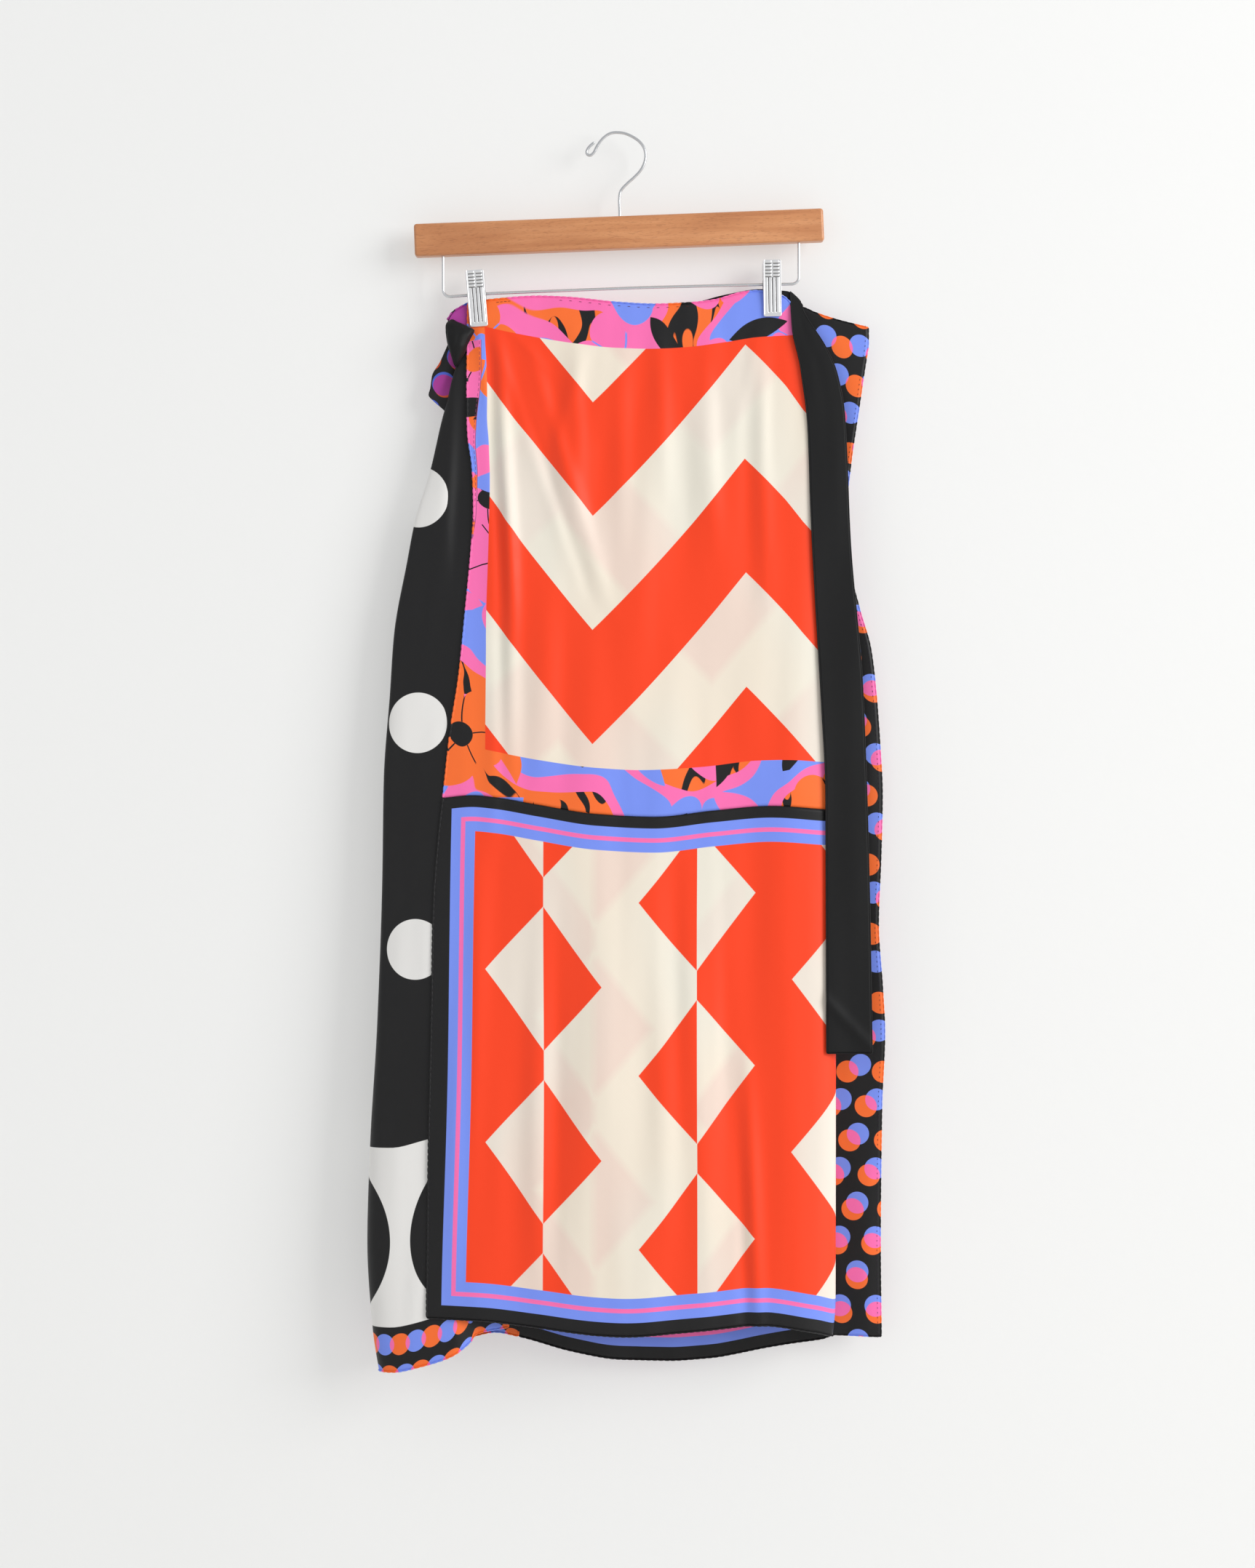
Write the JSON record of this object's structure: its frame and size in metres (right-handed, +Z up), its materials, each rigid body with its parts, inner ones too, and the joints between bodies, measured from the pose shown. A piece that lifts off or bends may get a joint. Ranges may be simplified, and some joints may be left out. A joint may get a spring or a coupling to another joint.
{
  "type": "scarf wrap skirt on clip hanger",
  "caption": "Long wrap skirt pieced from printed scarves, with a black sash, a hip knot and a free dotted flap, held by its waist on a wooden clip hanger.",
  "frame": {"origin": "underside of the hook's crown, where the hanger hangs on a rail or a nail", "axes": "+Z up along the hanging skirt, +X to the wearer's left and the viewer's right, -Y out of the front"},
  "size_m": [0.451, 0.0553, 1.0766],
  "materials": {
    "upper_print": "smooth silky print in orange red and cream, with a flowered border on black",
    "lower_print": "smooth silky print in orange red and cream, with black, blue and pink border stripes",
    "side_print": "smooth silky print in black and white, with a dotted hem",
    "dotted_print": "smooth silky print of blue and orange dots on black",
    "black_sash": "plain black silky cloth with a soft sheen",
    "bar_wood": "reddish brown wood with a satin varnish",
    "hanger_chrome": "bright polished chrome"
  },
  "bodies": {
    "root": {"upper_scarf_front": "upper_print", "upper_scarf_back": "upper_print", "lower_scarf_front": "lower_print", "lower_scarf_back": "lower_print", "side_scarf_front": "side_print", "side_scarf_back": "side_print", "dotted_flap": "dotted_print", "tie_band": "black_sash", "tie_fall": "black_sash", "hip_knot": "black_sash", "knot_tail": "dotted_print", "hanger_bar": "bar_wood", "hook_wire": "hanger_chrome", "clip_wire": "hanger_chrome", "left_clip_front_jaw": "hanger_chrome", "left_clip_back_jaw": "hanger_chrome", "left_clip_spring": "hanger_chrome", "right_clip_front_jaw": "hanger_chrome", "right_clip_back_jaw": "hanger_chrome", "right_clip_spring": "hanger_chrome"}
  },
  "joints": []
}
